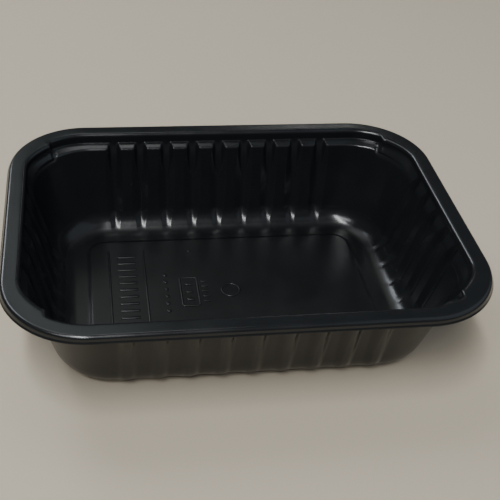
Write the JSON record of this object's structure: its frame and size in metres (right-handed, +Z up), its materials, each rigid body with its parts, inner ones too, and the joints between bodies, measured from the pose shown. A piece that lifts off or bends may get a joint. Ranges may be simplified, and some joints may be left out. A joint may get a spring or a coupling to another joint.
{
  "type": "takeaway food container",
  "caption": "Empty rectangular black plastic food tray with rounded corners, a flat sealing flange, a turned-down lip, ribbed sloping sides and a raised floor panel.",
  "frame": {"origin": "centre of the tray's footprint at the level it stands on", "axes": "+Z up out of the tray's mouth, +X along its long side, +Y along its short side"},
  "size_m": [0.187, 0.137, 0.045],
  "materials": {
    "black_plastic": "satin-gloss black polypropylene sheet, moulded through"
  },
  "bodies": {
    "root": {"tray": "black_plastic"}
  },
  "joints": []
}
